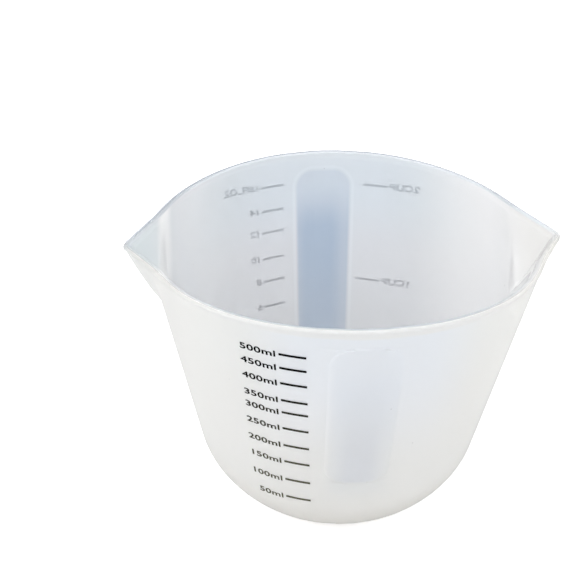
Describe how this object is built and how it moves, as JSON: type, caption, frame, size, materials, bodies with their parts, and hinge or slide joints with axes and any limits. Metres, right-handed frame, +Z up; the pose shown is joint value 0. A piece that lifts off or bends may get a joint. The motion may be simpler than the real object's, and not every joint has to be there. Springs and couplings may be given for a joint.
{
  "type": "mixing cup",
  "caption": "Soft translucent measuring and mixing cup with opposed pouring spouts, grip pads and printed volume scales.",
  "frame": {"origin": "centre of the foot, on the plane the cup stands on", "axes": "+X towards one pouring spout, -Y towards the side with the millilitre scale, +Z up towards the rim"},
  "size_m": [0.132, 0.114, 0.096],
  "materials": {
    "silicone": "satin translucent",
    "ink": "matte"
  },
  "bodies": {
    "root": {"cup_body": "silicone", "line_500_ml": "ink", "line_450_ml": "ink", "line_400_ml": "ink", "line_350_ml": "ink", "line_300_ml": "ink", "line_250_ml": "ink", "line_200_ml": "ink", "line_150_ml": "ink", "line_100_ml": "ink", "line_50_ml": "ink", "line_16_fl_oz": "ink", "line_14_fl_oz": "ink", "line_12_fl_oz": "ink", "line_10_fl_oz": "ink", "line_8_fl_oz": "ink", "line_6_fl_oz": "ink", "line_4_fl_oz": "ink", "line_2_fl_oz": "ink", "line_2_cup": "ink", "line_1_cup": "ink"}
  },
  "joints": []
}
